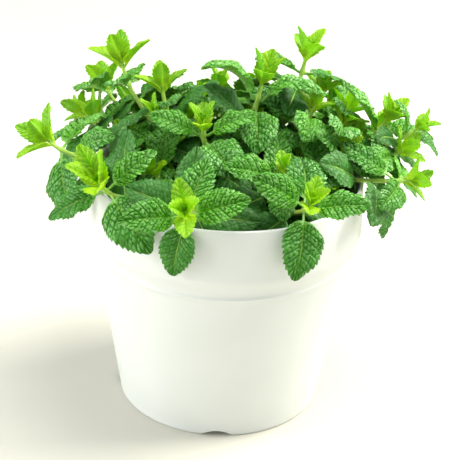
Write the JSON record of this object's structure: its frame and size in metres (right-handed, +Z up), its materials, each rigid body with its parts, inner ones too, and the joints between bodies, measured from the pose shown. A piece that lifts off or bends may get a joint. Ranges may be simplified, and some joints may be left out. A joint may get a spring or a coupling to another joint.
{
  "type": "potted mint plant",
  "caption": "Bushy mint plant with toothed, quilted leaves in opposite pairs, growing in a tapered white plastic pot filled with soil.",
  "frame": {"origin": "centre of the pot's foot, on the surface that the pot stands on", "axes": "+Z up along the pot's axis, -Y towards the front, +X to the right seen from the front"},
  "size_m": [0.233, 0.1904, 0.2046],
  "materials": {
    "pot": "satin",
    "soil": "matte",
    "stem": "satin",
    "leaf": "satin"
  },
  "bodies": {
    "root": {"leaf_pair_01_upper": "leaf", "leaf_pair_02_upper": "leaf", "leaf_pair_03_upper": "leaf", "leaf_pair_04_lower": "leaf", "leaf_pair_04_upper": "leaf", "leaf_pair_05_upper": "leaf", "leaf_pair_06_lower": "leaf", "leaf_pair_06_upper": "leaf", "leaf_pair_07_upper": "leaf", "leaf_pair_08_lower": "leaf", "leaf_pair_08_upper": "leaf", "leaf_pair_09_upper": "leaf", "leaf_pair_10_lower": "leaf", "leaf_pair_10_upper": "leaf", "leaf_pair_11_lower": "leaf", "leaf_pair_11_upper": "leaf", "leaf_pair_12_upper": "leaf", "leaf_pair_13_lower": "leaf", "leaf_pair_13_upper": "leaf", "leaf_pair_14_lower": "leaf", "leaf_pair_14_upper": "leaf", "leaf_pair_15_lower": "leaf", "leaf_pair_15_upper": "leaf", "leaf_pair_16_lower": "leaf", "leaf_pair_16_upper": "leaf", "leaf_pair_17_lower": "leaf", "leaf_pair_17_upper": "leaf", "leaf_pair_18_upper": "leaf", "leaf_pair_19_upper": "leaf", "leaf_pair_20_lower": "leaf", "leaf_pair_20_upper": "leaf", "leaf_pair_21_lower": "leaf", "leaf_pair_21_upper": "leaf", "leaf_pair_22_upper": "leaf", "leaf_pair_23_upper": "leaf", "pot": "pot", "soil": "soil", "stem_01": "stem", "stem_02": "stem", "stem_03": "stem", "stem_04": "stem", "stem_05": "stem", "stem_06": "stem", "stem_07": "stem", "stem_08": "stem", "stem_09": "stem", "stem_10": "stem", "stem_11": "stem", "stem_12": "stem", "stem_13": "stem", "stem_14": "stem", "stem_15": "stem", "stem_16": "stem", "stem_17": "stem", "stem_18": "stem", "stem_19": "stem", "stem_20": "stem", "stem_21": "stem", "stem_22": "stem", "stem_23": "stem"}
  },
  "joints": []
}
